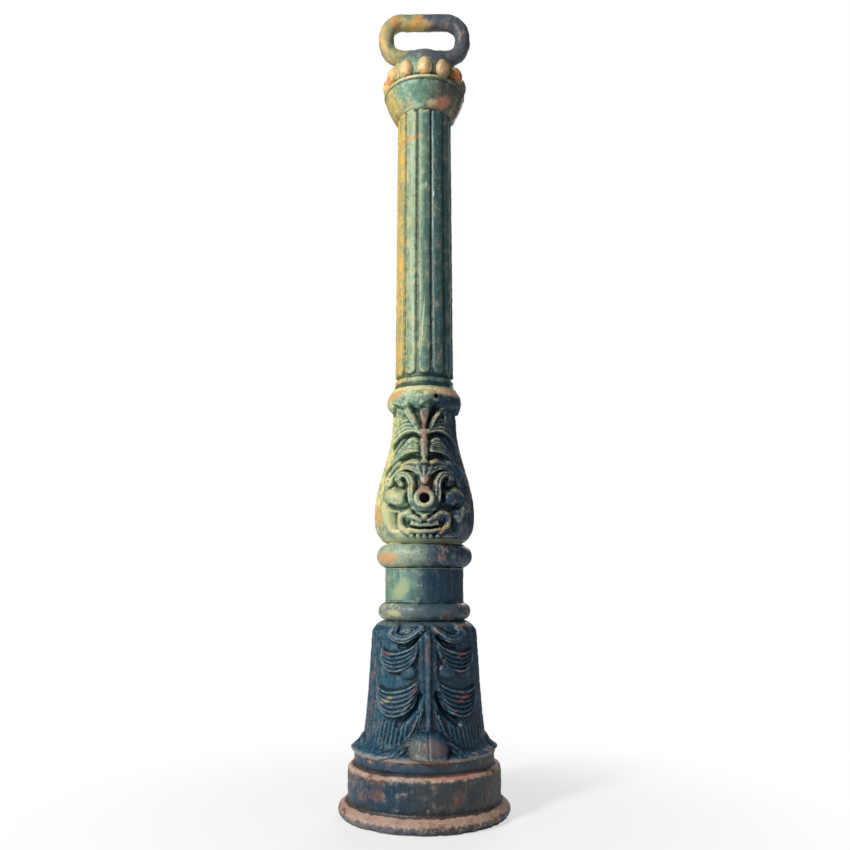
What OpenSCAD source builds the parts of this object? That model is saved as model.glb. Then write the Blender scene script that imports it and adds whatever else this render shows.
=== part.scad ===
// Cast iron column with a leafy bell foot, a masked vase, a reeded shaft and a lifting loop.
// One hollow casting, open below. Front (the mask) faces -Y, up is +Z, origin under the foot.

/* [Foot ring] */
// Radius of the round flange that the column stands on
flange_r = 120; // [108:1:140]
// Height of the flange
flange_h = 22; // [14:1:32]
// Radius of the plain ring above the flange
ring_r = 106; // [102:1:110]
// Height of the plain ring, from the flange to its top edge
ring_h = 44; // [30:1:70]
// Width and height of the sloped top edge of the ring
ring_edge = 6; // [3:0.5:9]
// Radius of the plain sunk band under the leaves
band_r = 96.5; // [92:0.5:97.5]
// Height of the sunk band
band_h = 15; // [10:1:24]

/* [Leafy bell] */
// Height of the bell that carries the big leaves
bell_h = 178; // [150:1:210]
// Radius of the bell low down, above its flare
bell_low_r = 81; // [76:1:86]
// Radius of the bell under its shoulder
bell_high_r = 70; // [66:1:76]
// Radius of the flared lip at the foot of the bell
bell_lip_r = 98.5; // [98:0.5:103]
// Height of the round shoulder at the top of the bell
shoulder_h = 17; // [10:1:24]
// Height of the folds over the bell's ground
leaf_relief = 5; // [3:0.5:7]
// Number of ribs in each lobe of a big leaf
lobe_ribs = 5; // [3:1:6]
// Turn of the big leaves round the axis, measured from the mask
leaf_turn = 3.5; // [-10:0.5:10]

/* [Rings and drum] */
// Radius of the short waist above the bell
waist_r = 54; // [50:1:57]
// Thickness of the lower round ring
low_ring_h = 25; // [18:1:32]
// Reach of the lower round ring
low_ring_r = 63.5; // [60:0.5:70]
// Height of the plain drum between the two rings
drum_h = 46; // [30:1:60]
// Thickness of the upper round ring
high_ring_h = 33; // [24:1:38]
// Reach of the upper round ring
high_ring_r = 65.5; // [62:0.5:72]

/* [Vase] */
// Height of the vase from its foot to its narrow neck
vase_h = 168; // [150:1:190]
// Largest radius of the vase, at the mask's cheeks
belly_r = 67.5; // [64:0.5:72]
// Height of the belly over the foot of the vase
belly_h = 37; // [32:1:44]
// Radius of the narrow neck of the vase
neck_r = 42.5; // [40:0.5:46]
// Reach of the rolled collar above the neck
collar_r = 50; // [47:0.5:54]
// Height of the rolled collar, without its hollow edges
collar_h = 29; // [22:1:32]
// Height of the hollow moulding between the collar and the shaft
cavetto_h = 10; // [6:1:16]
// Height of the mask's features over the vase
mask_relief = 5; // [3:0.5:7]

/* [Reeded shaft] */
// Height of the shaft from the collar to the cap
shaft_h = 354; // [300:1:420]
// Radius over the reeds at the foot of the shaft
shaft_low_r = 40; // [38:0.5:43]
// Radius over the reeds at the top of the shaft
shaft_top_r = 36.5; // [34:0.5:38]
// Number of reeds round the shaft
reeds = 12; // [8:1:14]
// Width of a reed at the foot of the shaft
reed_w = 14.4; // [11:0.2:15]
// Depth of the grooves between the reeds
groove_depth = 2.8; // [1.5:0.1:4]

/* [Cap] */
// Reach of the fine ring under the beads
cap_r = 55.5; // [52:0.5:60]
// Height of the cap from the end of the reeds to the fine ring
cap_h = 41; // [34:1:48]
// Radius of the cap's lower lip
cap_lip_r = 43; // [41:0.5:47]
// Height of the neck under the lower lip
cap_neck_h = 13; // [8:1:18]
// Number of egg beads round the cap
beads = 12; // [8:1:14]
// Width of an egg bead
bead_w = 20; // [16:0.5:22]
// Height of an egg bead
bead_h = 27; // [20:1:32]
// Radius of the circle through the middles of the beads
bead_ring_r = 47.5; // [44:0.5:52]
// Radius of the round dome
dome_r = 50; // [46:0.5:53]
// Height of the dome's middle over the fine ring
dome_rise = 11; // [6:1:16]

/* [Loop] */
// Thickness of the round bar of the loop
loop_bar_d = 21.5; // [17:0.5:25]
// Width of the loop, outside
loop_w = 126; // [110:1:140]
// Height of the loop, outside
loop_h = 71; // [66:1:80]
// Radius of the loop's corners, on the middle of the bar
loop_corner_r = 22; // [16:0.5:24]
// How far the loop's lower bar sinks into the dome
loop_sink = 16.5; // [11:0.5:19]

/* [Hollow] */
// Thickness of the casting's wall
wall = 10; // [8:0.5:12]
// Height of the spout hole over the foot of the vase, the mask goes with it
spout_h = 57; // [52:1:62]
// Diameter of the spout hole in the mask
spout_d = 14; // [8:0.5:18]
// Diameter of the round boss about the spout hole
spout_boss_d = 25; // [22:0.5:29]

/* [Hidden] */
$fn = 64;

// Levels, each from the one below it
ring_top_z = flange_h + ring_h;
band_z = ring_top_z + ring_edge;
bell_z = band_z + band_h;
low_ring_z = bell_z + bell_h;
drum_z = low_ring_z + low_ring_h;
high_ring_z = drum_z + drum_h;
vase_z = high_ring_z + high_ring_h;
neck_z = vase_z + vase_h;
// The collar swells out of the neck, is fullest at its middle and ends in a short ledge
collar_foot = vase_h + collar_h * 0.1;
collar_mid = vase_h + collar_h;
vase_top = collar_mid + collar_h * 0.45;
shaft_z = vase_z + vase_top + cavetto_h;
cap_z = shaft_z + shaft_h;
cap_ring_z = cap_z + cap_h;
dome_z = cap_ring_z + dome_rise;
loop_z = dome_z + dome_r + loop_h / 2 - loop_sink;
spout_z = vase_z + spout_h;
seat = 2;

// Smooth step from 0 to 1, and straight blend
function unit(x) = min(1, max(0, x));
function ease(x) = let (t = unit(x)) t * t * (3 - 2 * t);
function blend(a, b, t) = a + (b - a) * t;
// Round top of a ridge, 1 at its line and 0 at its edge
function hump(d) = let (t = unit(abs(d))) (1 - t * t) * (1 - t * t);
function crown(d) = abs(d) >= 1 ? 0 : sqrt(1 - d * d);
// Full round bulge over a unit circle
function bulge(v) = let (d = norm(v)) d >= 1 ? 0 : pow(1 - d * d, 0.7);
// Softer mound over a unit circle
function mound(v) = max(0, 1 - v * v);
// Distance from a point to a straight piece of line
function from_line(p, a, b) =
    let (d = b - a, t = unit(((p - a) * d) / (d * d)))
    norm(p - a - t * d);

// Radius of the plain bell at height q, from 0 at its lip to 1 at its top
function bell_ground(q) =
    let (z = q * bell_h,
         side = blend(bell_low_r, bell_high_r, q),
         flare = (bell_lip_r - bell_low_r) / (1 + pow(max(0, z - 6) / 8, 1.3)),
         over = unit((z - bell_h + shoulder_h) / shoulder_h))
    side + flare - (bell_high_r - waist_r) * (1 - sqrt(1 - over * over * 0.96));

// A big leaf's two rolled lobes: first and last angle, height of the inner and of the outer end, depth
LOBES = [
    [8, 56, 0.91, 0.81, 0.27],
    [7, 58, 0.58, 0.49, 0.30]
];
// Round bowl shape of a lobe along its run, with a least depth at the ends
function lobe_bowl(l, a) =
    let (s = 2 * pow(unit((a - l[0]) / (l[1] - l[0])), 0.85) - 1)
    max(0.3, pow(max(0, 1 - pow(abs(s), 2.4)), 0.6));
function lobe_line(l, a) = blend(l[2], l[3], unit((a - l[0]) / (l[1] - l[0])));
function lobe_top(l, a) = lobe_line(l, a) - 0.08 * lobe_bowl(l, a);
function lobe_foot(l, a) = lobe_line(l, a) - l[4] * lobe_bowl(l, a);
function lobe_fade(l, a) = ease((a - l[0]) / 5) * ease((l[1] - a) / 4);
function lobe(l, a, q) =
    let (t = (lobe_top(l, a) - q) / (lobe_top(l, a) - lobe_foot(l, a)))
    t <= 0 || t >= 1 ? 0 :
    lobe_fade(l, a) * leaf_relief * (0.35 + 0.6 * t + 0.55 * pow(abs(sin(180 * lobe_ribs * t)), 0.8));

// Height of the big leaf over the bell, a is the angle from the leaf's middle
function big_leaf(a, q) =
    let (arc = bell_low_r * PI / 180,
         p = [a * arc, q * bell_h],
         strap = 0.5 * crown(a * arc / 9) * ease((q - 0.14) / 0.1),
         rib = 1.2 * crown(a * arc / 6) * ease((q - 0.14) / 0.1) * ease((0.98 - q) / 0.08),
         flap = 1.3 * hump(from_line(p, [12 * arc, 0.95 * bell_h], [40 * arc, 0.885 * bell_h]) / 11),
         hollow = 0.9 * hump(from_line(p, [9 * arc, 0.4 * bell_h], [30 * arc, 0.2 * bell_h]) / 7),
         fan_zone = ease((a - 12) / 8) * ease((56 - a) / 6)
                    * ease((0.32 - q) / 0.1) * ease((q - 0.04) / 0.06),
         fan = 0.4 * fan_zone * abs(sin(180 * (a - 14) / 8)),
         bud = 1.0 * mound([(a - 17) / 10, (q - 0.62) / 0.08]),
         bulb = 2.8 * mound([a / 20, (q - 0.1) / 0.12]))
    leaf_relief * (max(strap, rib, flap, bud, fan) - hollow + bulb);

// Upright flutes between the leaves, with a curl at the foot of each side
function flank(a, q) =
    let (flutes = 0.35 * ease((a - 52) / 6) * abs(sin(180 * (a - 57) / 11)) * ease((0.97 - q) / 0.06),
         curl = 0.45 * crown(norm([(90 - a) / 15, (q - 0.03) / 0.07])))
    leaf_relief * (flutes + curl);

function bell_fold(t) = let (u = abs(t) % 360, v = u > 180 ? 360 - u : u) v > 90 ? 180 - v : v;
function bell_r(theta, q) =
    let (a = bell_fold(theta - leaf_turn))
    bell_ground(q) - 1
        + max(lobe(LOBES[0], a, q), lobe(LOBES[1], a, q))
        + big_leaf(a, q) + flank(a, q);

// Rows of the bell's mesh follow the lobes: even steps between the edges that they pass
function steps(from, to, n) = [for (i = [1:n]) blend(from, to, i / n)];
function bell_rows(a) =
    let (low = LOBES[1], high = LOBES[0])
    concat([0], steps(0, 0.2, 6),
        steps(0.2, lobe_foot(low, a), 2), steps(lobe_foot(low, a), lobe_top(low, a), 2 * lobe_ribs),
        steps(lobe_top(low, a), lobe_foot(high, a), 3),
        steps(lobe_foot(high, a), lobe_top(high, a), 2 * lobe_ribs),
        steps(lobe_top(high, a), 0.98, 5), [1]);
QUARTER = concat([0, 2.5, 5, 7.5, 10], [for (a = [14:4:54]) a], [57.5], [for (a = [62.5:5.5:88]) a]);
HALF = concat(QUARTER, [90], [for (i = [len(QUARTER) - 1:-1:1]) 180 - QUARTER[i]]);
ROUND = concat(HALF, [180], [for (i = [len(HALF) - 1:-1:1]) 360 - HALF[i]]);

// Point of a round surface, angle 0 towards the front
function around(r, theta, z) = [r * sin(theta), -r * cos(theta), z];

// Closed sleeve between an inner and an outer net of points, each a list of rings from below to above.
// Each four-sided cell is split along the diagonal that runs more level, so that the ridges stay whole.
function reach(p) = norm([p[0], p[1]]);
module sleeve(outer, inner) {
    n = len(outer[0]);
    rings = concat(outer, [for (j = [len(inner) - 1:-1:0]) inner[j]]);
    m = len(rings);
    polyhedron([for (ring = rings) each ring],
        [for (j = [0:m - 1], i = [0:n - 1])
            let (k = (i + 1) % n, up = (j + 1) % m,
                 a = j * n + i, b = j * n + k, c = up * n + i, d = up * n + k,
                 rise = abs(reach(rings[up][k]) - reach(rings[j][i])),
                 fall = abs(reach(rings[up][i]) - reach(rings[j][k])))
            each rise < fall ? [[a, d, b], [a, c, d]] : [[a, c, b], [b, c, d]]]);
}
function ring_of(r, columns, z) = [for (t = columns) around(r, t, z)];

module bell() {
    columns = [for (a = ROUND) a + leaf_turn];
    rows = [for (t = columns) bell_rows(bell_fold(t - leaf_turn))];
    count = len(rows[0]);
    level = function (q) bell_z + q * bell_h + (q == 1 ? seat : 0);
    sleeve([for (j = [0:count - 1]) [for (i = [0:len(columns) - 1])
                around(bell_r(columns[i], rows[i][j]), columns[i], level(rows[i][j]))]],
           [ring_of(band_r - wall - seat, columns, bell_z),
            ring_of(waist_r - wall - seat, columns, low_ring_z + seat)]);
}

// Radius of the plain vase at height h over its foot, the collar included
foot_r = waist_r - 2;
collar_fall = 16;
function vase_ground(h) =
    let (low = sqrt(max(0, 1 - pow((belly_h - h) / (belly_h * 0.93), 2))),
         high = (1 + cos(180 * unit((h - belly_h) / (vase_h - belly_h)))) / 2,
         body = h < belly_h ? foot_r + (belly_r - foot_r) * low : neck_r + (belly_r - neck_r) * high,
         roll = ease((h - collar_foot) / (collar_mid - collar_foot))
                * ease((vase_top + 6 - h) / collar_fall))
    max(body, h > collar_foot ? neck_r + (collar_r - neck_r) * roll : 0);

// Height of the mask over the vase, y is the height over the spout hole
function mask(a, y) =
    let (arc = belly_r * PI / 180,
         x = a * arc,
         p = [x, y],
         bar = function (x1, y1, x2, y2, w) hump(from_line(p, [x1, y1], [x2, y2]) / w),
         lump = function (x1, y1, rx, ry) mound([(x - x1) / rx, (y - y1) / ry]),
         brow = 1.0 * max(bar(0, 42, 18, 44, 10), bar(18, 44, 36, 39, 10), bar(36, 39, 52, 20, 9)),
         drop = 1.2 * max(bar(0, 27, 0, 42, 8), lump(0, 45, 11, 10)),
         curl = 1.1 * lump(24, 28, 11, 10),
         limb = 1.1 * max(bar(17, 27, 17, 2, 8), bar(17, 2, 9, -11, 8), bar(9, -11, 0, -15, 7)),
         nose = 1.3 * lump(0, 4, 15, 20),
         cheek = 1.2 * lump(42, 5, 16, 13),
         jowl = 1.0 * max(bar(54, -8, 48, -28, 13), bar(48, -28, 28, -46, 12)),
         lips = 1.1 * hump((norm([x / 26, (y + 35) / 12]) - 1) * 1.5),
         tongue = 1.2 * lump(0, -22, 8, 10),
         socket = 1.0 * hump(norm([(x - 36) / 15, (y - 20) / 12])),
         crease = 0.5 * hump(from_line(p, [24, -10], [42, -10]) / 8),
         slit = 0.7 * hump(from_line(p, [0, -36], [14, -35.5]) / 7))
    max(brow, drop, curl, limb, nose, cheek, jowl, lips, tongue) - max(socket, crease, slit);

// Height of the leaf that hangs from the collar, y is the height over the neck of the vase
function collar_leaf(a, y) =
    let (x = a * neck_r * PI / 180,
         p = [x, y],
         bar = function (x1, y1, x2, y2, w) hump(from_line(p, [x1, y1], [x2, y2]) / w),
         stem = 1.1 * max(bar(0, -68, 0, -18, 8), bar(0, -18, 0, 20, 7.5)),
         side = 1.0 * max(bar(4, -18, 13, -2, 8.5), bar(13, -2, 20, 12, 9)),
         wings = 1.0 * max(bar(12, -9, 30, -18, 10), bar(30, -18, 46, -34, 9),
                           bar(12, -42, 32, -49, 10), bar(32, -49, 50, -66, 9)),
         tip = 1.0 * mound([(x - 2) / 20, (y - 25) / 15]),
         hollows = 0.8 * max(bar(6, -8, 14, 8, 6), bar(9, -26, 34, -36, 8), bar(8, -57, 32, -68, 8)))
    max(stem, side, wings, tip) - hollows;

function vase_r(theta, h) =
    let (u = abs(theta), a = u > 180 ? 360 - u : u,
         leaf = collar_leaf(min(a, 180 - a), h - vase_h))
    vase_ground(h) + mask_relief * (mask(a, h - spout_h) + leaf) * ease(h / 5);

VASE_HALF = concat([for (a = [0:3:33]) a], [37, 41, 45, 49, 54, 60, 68], [for (a = [80:20:160]) a]);
VASE_ROUND = concat(VASE_HALF, [180], [for (i = [len(VASE_HALF) - 1:-1:1]) 360 - VASE_HALF[i]]);
mask_foot = spout_h - 51;
brow_h = spout_h + 42;
VASE_ROWS = concat([0], steps(0, mask_foot, 2), steps(mask_foot, brow_h, 22),
                   steps(brow_h, collar_foot, 15), steps(collar_foot, vase_top, 7));
// Rows of the vase's mesh droop outwards beside the front, as the brow and the leaf's lobes do
function droop(a, h) =
    let (spread = blend(32, 50, unit((h - brow_h) / 30)),
         fade = ease((h - spout_h + 6) / 48) * ease((collar_foot - h) / 10) * ease((130 - a) / 50))
    24 * fade * pow(unit((a - 12) / spread), 1.8);
function row_h(theta, h) = let (u = abs(theta)) h - droop(u > 180 ? 360 - u : u, h);

module vase() {
    level = function (h) vase_z + h - (h == 0 ? seat : 0);
    sleeve([for (h = VASE_ROWS) [for (t = VASE_ROUND)
                let (at = row_h(t, h)) around(vase_r(t, at), t, level(at))]],
           [ring_of(waist_r - wall - seat, VASE_ROUND, vase_z - seat),
            ring_of(belly_r - wall - 4, VASE_ROUND, vase_z + belly_h),
            ring_of(neck_r - wall, VASE_ROUND, neck_z),
            ring_of(neck_r - wall, VASE_ROUND, vase_z + vase_top)]);
}

// Turned outline of the foot: flange with a round edge, plain ring, sloped edge and sunk band
module foot() {
    edge = flange_h * 0.42;
    slope = 0.2 * flange_h;
    rotate_extrude()
        polygon(concat(
            [[0, 0], [flange_r - 3, 0]],
            [for (i = [0:6]) let (t = -40 + i * 20)
                [flange_r - edge + edge * cos(t), edge * 0.75 + edge * sin(t)]],
            [[ring_r + 4, flange_h - slope], [ring_r + 1, flange_h],
             [ring_r, ring_top_z], [ring_r - ring_edge * 0.25, ring_top_z + ring_edge * 0.6],
             [band_r + 1, band_z], [band_r, band_z + 1], [band_r, bell_z + seat], [0, bell_z + seat]]));
}

// Waist, the two round rings and the drum between them
module drum() {
    rotate_extrude() {
        translate([0, low_ring_z - seat]) square([waist_r, drum_h + low_ring_h + high_ring_h / 2]);
        ring_line(low_ring_r, low_ring_h, low_ring_z + low_ring_h / 2);
        ring_line(high_ring_r, high_ring_h, high_ring_z + high_ring_h / 2);
    }
}

module ring_line(reach, thick, level) {
    translate([0, level - thick / 2]) square([reach - thick / 2, thick]);
    translate([reach - thick / 2, level]) circle(thick / 2);
}

// Tapered core of the shaft with its foot mouldings, and the reeds laid on it
module shaft() {
    core_low_r = shaft_low_r - groove_depth;
    core_top_r = shaft_top_r - groove_depth;
    collar_top_z = vase_z + vase_top;
    reed_start = 1.3 * cavetto_h;
    bead_line = 1.5;
    rotate_extrude()
        polygon([[0, collar_top_z - 2 * seat], [neck_r - bead_line, collar_top_z - 2 * seat],
                 [neck_r - bead_line, collar_top_z + seat], [shaft_low_r, shaft_z - 2 * bead_line],
                 [shaft_low_r + bead_line, shaft_z - bead_line], [shaft_low_r + bead_line, shaft_z + 1],
                 [shaft_low_r, shaft_z + 3], [core_low_r + 0.5, shaft_z + 5], [core_low_r, shaft_z + 8],
                 [core_top_r, cap_z + 2 * seat], [0, cap_z + 2 * seat]]);
    reed_r = (pow(reed_w / 2, 2) + pow(groove_depth, 2)) / (2 * groove_depth);
    reed_top_r = reed_r * shaft_top_r / shaft_low_r;
    lean = atan((shaft_low_r - reed_r - shaft_top_r + reed_top_r) / shaft_h);
    for (i = [0:reeds - 1])
        rotate([0, 0, i * 360 / reeds])
            translate([0, -(shaft_low_r - reed_r), shaft_z + reed_start])
                rotate([-lean, 0, 0]) {
                    cylinder(h = shaft_h - reed_start + seat, r1 = reed_r, r2 = reed_top_r);
                    sphere(reed_r);
                }
}

// Cap: neck, lower lip, swelling side, fine ring, round dome and the egg beads
module cap() {
    fine = 2.6;
    lip_z = cap_z + cap_neck_h;
    rotate_extrude() {
        polygon([[0, cap_z - seat], [shaft_top_r - 1, cap_z - seat],
                 [shaft_top_r + 1, cap_z + cap_neck_h / 2], [cap_lip_r - 2, lip_z - 1],
                 [cap_lip_r, lip_z], [cap_lip_r + 0.5, lip_z + 2.5],
                 [blend(cap_lip_r, cap_r, 0.45), blend(lip_z, cap_ring_z, 0.4)],
                 [blend(cap_lip_r, cap_r, 0.8), blend(lip_z, cap_ring_z, 0.72)],
                 [cap_r - fine, cap_ring_z - fine / 2], [cap_r - fine, cap_ring_z + fine / 2],
                 [bead_ring_r + 1, dome_z - 4], [0, dome_z - 4]]);
        translate([cap_r - fine, cap_ring_z]) circle(fine);
    }
    translate([0, 0, dome_z]) sphere(dome_r);
    for (i = [0:beads - 1])
        rotate([0, 0, i * 360 / beads])
            translate([0, -bead_ring_r, cap_ring_z + bead_h / 2 + 2])
                rotate([-10, 0, 0]) egg();
}

// An egg bead is an arc turned about its chord
module egg() {
    arc_r = (bead_w * bead_w + bead_h * bead_h) / (4 * bead_w);
    rotate_extrude()
        intersection() {
            translate([bead_w / 2 - arc_r, 0]) circle(arc_r);
            translate([0, -bead_h / 2 - 1]) square([bead_w, bead_h + 2]);
        }
}

// Round bar bent into a closed loop that stands across the front
module loop() {
    half_w = (loop_w - loop_bar_d) / 2 - loop_corner_r;
    half_h = (loop_h - loop_bar_d) / 2 - loop_corner_r;
    translate([0, 0, loop_z])
        rotate([90, 0, 0])
            for (sx = [-1, 1], sy = [-1, 1]) {
                translate([sx * half_w, sy * half_h, 0])
                    rotate([0, 0, sy > 0 ? (sx > 0 ? 0 : 90) : (sx > 0 ? 270 : 180)])
                        rotate_extrude(angle = 90) translate([loop_corner_r, 0]) circle(loop_bar_d / 2);
                translate([0, sy * (half_h + loop_corner_r), 0])
                    rotate([0, sx * 90, 0]) cylinder(h = half_w, d = loop_bar_d);
                translate([sx * (half_w + loop_corner_r), 0, 0])
                    rotate([-sy * 90, 0, 0]) cylinder(h = half_h, d = loop_bar_d);
            }
}

// Hollow of the turned lengths, open below and closed under the dome
module hollow() {
    core_r = waist_r - wall;
    shaft_core_r = shaft_low_r - groove_depth - wall;
    top_core_r = shaft_top_r - groove_depth - wall;
    rotate_extrude()
        polygon([[0, -1], [ring_r - wall, -1], [ring_r - wall, flange_h], [band_r - wall, ring_top_z],
                 [band_r - wall, bell_z + 2 * seat], [core_r, bell_z + 2 * seat],
                 [core_r, vase_z + seat], [neck_r - wall - 1.5, vase_z + seat],
                 [neck_r - wall - 1.5, vase_z + vase_top], [shaft_core_r, shaft_z],
                 [top_core_r, cap_z], [top_core_r, cap_ring_z], [0, dome_z + seat]]);
}

// The round boss in the mask and the spout hole through it
module spout(diameter, start, end) {
    translate([0, -start, spout_z]) rotate([90, 0, 0]) cylinder(h = end - start, d = diameter);
}

module column() {
    boss_end = belly_r + mask_relief * 1.3;
    color([0.16, 0.3, 0.31]) {
        difference() {
            union() {
                foot();
                drum();
                shaft();
                cap();
                loop();
            }
            hollow();
        }
        bell();
        difference() {
            union() {
                vase();
                spout(spout_boss_d, belly_r - wall, boss_end);
            }
            spout(spout_d, wall, boss_end + wall);
        }
    }
}

column();
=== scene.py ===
# Cast iron column: foot ring, leafy bell, rings and drum, masked vase, reeded shaft, beaded cap and loop.
import math

import bpy
import numpy as np
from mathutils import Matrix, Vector, noise


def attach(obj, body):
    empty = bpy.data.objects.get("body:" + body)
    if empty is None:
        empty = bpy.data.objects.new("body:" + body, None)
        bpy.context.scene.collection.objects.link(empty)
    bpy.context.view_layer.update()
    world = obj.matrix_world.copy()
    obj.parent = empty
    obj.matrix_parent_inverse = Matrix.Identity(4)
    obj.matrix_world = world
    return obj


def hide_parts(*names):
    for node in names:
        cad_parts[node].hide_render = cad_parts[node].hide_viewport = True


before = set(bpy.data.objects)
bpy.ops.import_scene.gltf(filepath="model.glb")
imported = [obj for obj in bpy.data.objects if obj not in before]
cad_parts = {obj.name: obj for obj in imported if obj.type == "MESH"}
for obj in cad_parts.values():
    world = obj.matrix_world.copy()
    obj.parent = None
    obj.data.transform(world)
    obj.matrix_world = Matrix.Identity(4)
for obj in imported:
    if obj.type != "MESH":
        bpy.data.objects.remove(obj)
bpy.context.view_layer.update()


# Photo's view
# A level camera a little over a metre in front of the column, low down at the height of the drum,
# with the frame shifted up to take in the whole height.
FRAME_PX = 850
FOCAL_PX = 835
HORIZON_PX = 583
AXIS_PX = 424.4
METRES_PER_PX = 0.001381
SENSOR = 36

camera = bpy.data.objects.new("camera", bpy.data.cameras.new("camera"))
camera.data.sensor_width = SENSOR
camera.data.lens = SENSOR * FOCAL_PX / FRAME_PX
camera.data.shift_x = (FRAME_PX / 2 - AXIS_PX) / FRAME_PX
camera.data.shift_y = (HORIZON_PX - FRAME_PX / 2) / FRAME_PX
camera.location = (0, -FOCAL_PX * METRES_PER_PX, 0.316)
camera.rotation_euler = (math.radians(90), 0, 0)
bpy.context.scene.collection.objects.link(camera)
bpy.context.scene.camera = camera
bpy.context.scene.view_settings.view_transform = "Standard"


# Studio
# A pale floor that keeps a faint shadow, a white surround, a large soft lamp at the left front,
# a weak one at the right and one behind for the other sides.
def set_lamp(name, place, aim, size, watts, colour=(1, 1, 1)):
    lamp = bpy.data.lights.new(name, "AREA")
    lamp.size = size
    lamp.energy = watts
    lamp.color = colour
    holder = bpy.data.objects.new(name, lamp)
    holder.location = place
    holder.rotation_euler = (Vector(aim) - Vector(place)).to_track_quat("-Z", "Y").to_euler()
    bpy.context.scene.collection.objects.link(holder)


set_lamp("key_lamp", (-1.75, -1.7, 1.9), (0, 0, 0.6), 0.4, 78, (1, 0.97, 0.92))
set_lamp("fill_lamp", (1.9, -1.6, 0.7), (0, 0, 0.5), 1.6, 4, (0.8, 0.92, 1))
set_lamp("back_lamp", (0.4, 2.3, 1.6), (0, 0, 0.5), 1.4, 30)


# Foot ring
# The foot of the casting: a round flange with a rolled rim that stands on the ground, a plain upright
# ring, a sloped edge and a narrow sunk band. Cast iron under old petrol blue paint, rusty at its edges.
class Wire:
    """One socket of a node. Sums and products of wires and numbers add Math nodes."""

    def __init__(self, tree, socket):
        self.tree = tree
        self.socket = socket

    def _with(self, operation, other, swapped=False):
        pair = {0: other, 1: self} if swapped else {0: self, 1: other}
        return self.tree.add("ShaderNodeMath", {"operation": operation}, pair)

    def __add__(self, other): return self._with("ADD", other)
    def __radd__(self, other): return self._with("ADD", other)
    def __sub__(self, other): return self._with("SUBTRACT", other)
    def __rsub__(self, other): return self._with("SUBTRACT", other, True)
    def __mul__(self, other): return self._with("MULTIPLY", other)
    def __rmul__(self, other): return self._with("MULTIPLY", other)
    def __truediv__(self, other): return self._with("DIVIDE", other)
    def __pow__(self, other): return self._with("POWER", other)

    def step(self, low, high):
        """0 under low and 1 over high, with a smooth rise between them."""
        ramp = {"interpolation_type": "SMOOTHSTEP"}
        return self.tree.add("ShaderNodeMapRange", ramp, {"Value": self, "From Min": low, "From Max": high})


class Finish:
    """A material's node tree, with one method for every node."""

    def __init__(self, name):
        self.material = bpy.data.materials.new(name)
        self.material.use_nodes = True
        self.nodes = self.material.node_tree.nodes
        self.links = self.material.node_tree.links
        self.surface = self.nodes["Principled BSDF"]

    def add(self, kind, settings=None, sockets=None, out=0):
        node = self.nodes.new(kind)
        for key, value in (settings or {}).items():
            setattr(node, key, value)
        for key, value in (sockets or {}).items():
            self.plug(node.inputs[key], value)
        return Wire(self, node.outputs[out])

    def plug(self, socket, value):
        if isinstance(value, Wire):
            self.links.new(value.socket, socket)
        else:
            socket.default_value = value

    def mix(self, base, over, share):
        return self.add("ShaderNodeMix", {"data_type": "RGBA"}, {0: share, 6: base, 7: over}, 2)

    def speckle(self, place, size, detail=4, rough=0.6):
        """Even noise from 0 to 1, with lumps of about the given size in metres."""
        return self.add("ShaderNodeTexNoise", {}, {"Vector": place, "Scale": 1 / size, "Detail": detail,
                                                   "Roughness": rough})


def tint(red, green, blue):
    """A screen colour, 0 to 255, as the shader wants it."""
    parts = [c / 255 for c in (red, green, blue)]
    return [c / 12.92 if c < 0.04 else ((c + 0.055) / 1.055) ** 2.4 for c in parts] + [1]


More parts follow.
